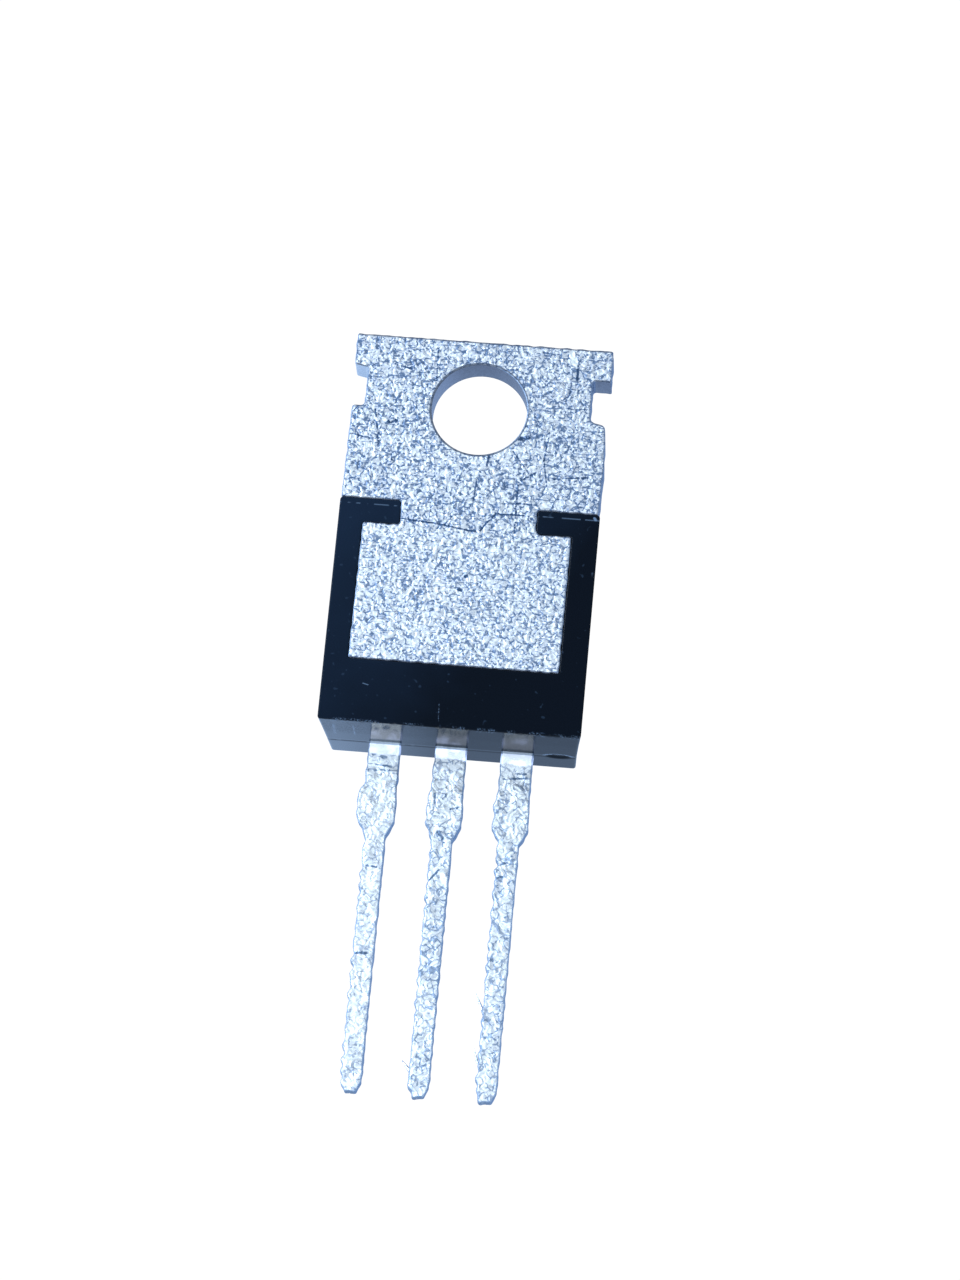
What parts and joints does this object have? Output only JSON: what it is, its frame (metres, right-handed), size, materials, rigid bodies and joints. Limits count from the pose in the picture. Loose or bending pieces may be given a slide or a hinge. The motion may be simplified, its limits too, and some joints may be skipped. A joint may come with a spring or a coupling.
{
  "type": "triac",
  "caption": "Three-lead power switch for alternating current: a drilled metal heatsink tab moulded into a black plastic body, with straight in-line leads.",
  "frame": {"origin": "centre of the screw hole, on the bare back face of the tab", "axes": "+Z out of the bare back face, +Y from the leads towards the tab's free edge, X across the tab"},
  "size_m": [0.01, 0.0294, 0.0045],
  "materials": {
    "tinned_copper": "copper strip dipped in tin, mottled and scratched, bluish silver",
    "solder": "dull grey soft solder",
    "silicon": "dark grey silicon chip with a sealed face",
    "bond_wire": "bright drawn aluminium wire",
    "epoxy": "black moulding epoxy with a slight sheen"
  },
  "bodies": {
    "root": {"heatsink_tab": "tinned_copper", "gate_lead": "tinned_copper", "mt1_lead": "tinned_copper", "die_solder": "solder", "triac_die": "silicon", "mt1_wire_inner": "bond_wire", "mt1_wire_outer": "bond_wire", "gate_wire": "bond_wire", "mould_body": "epoxy"}
  },
  "joints": []
}
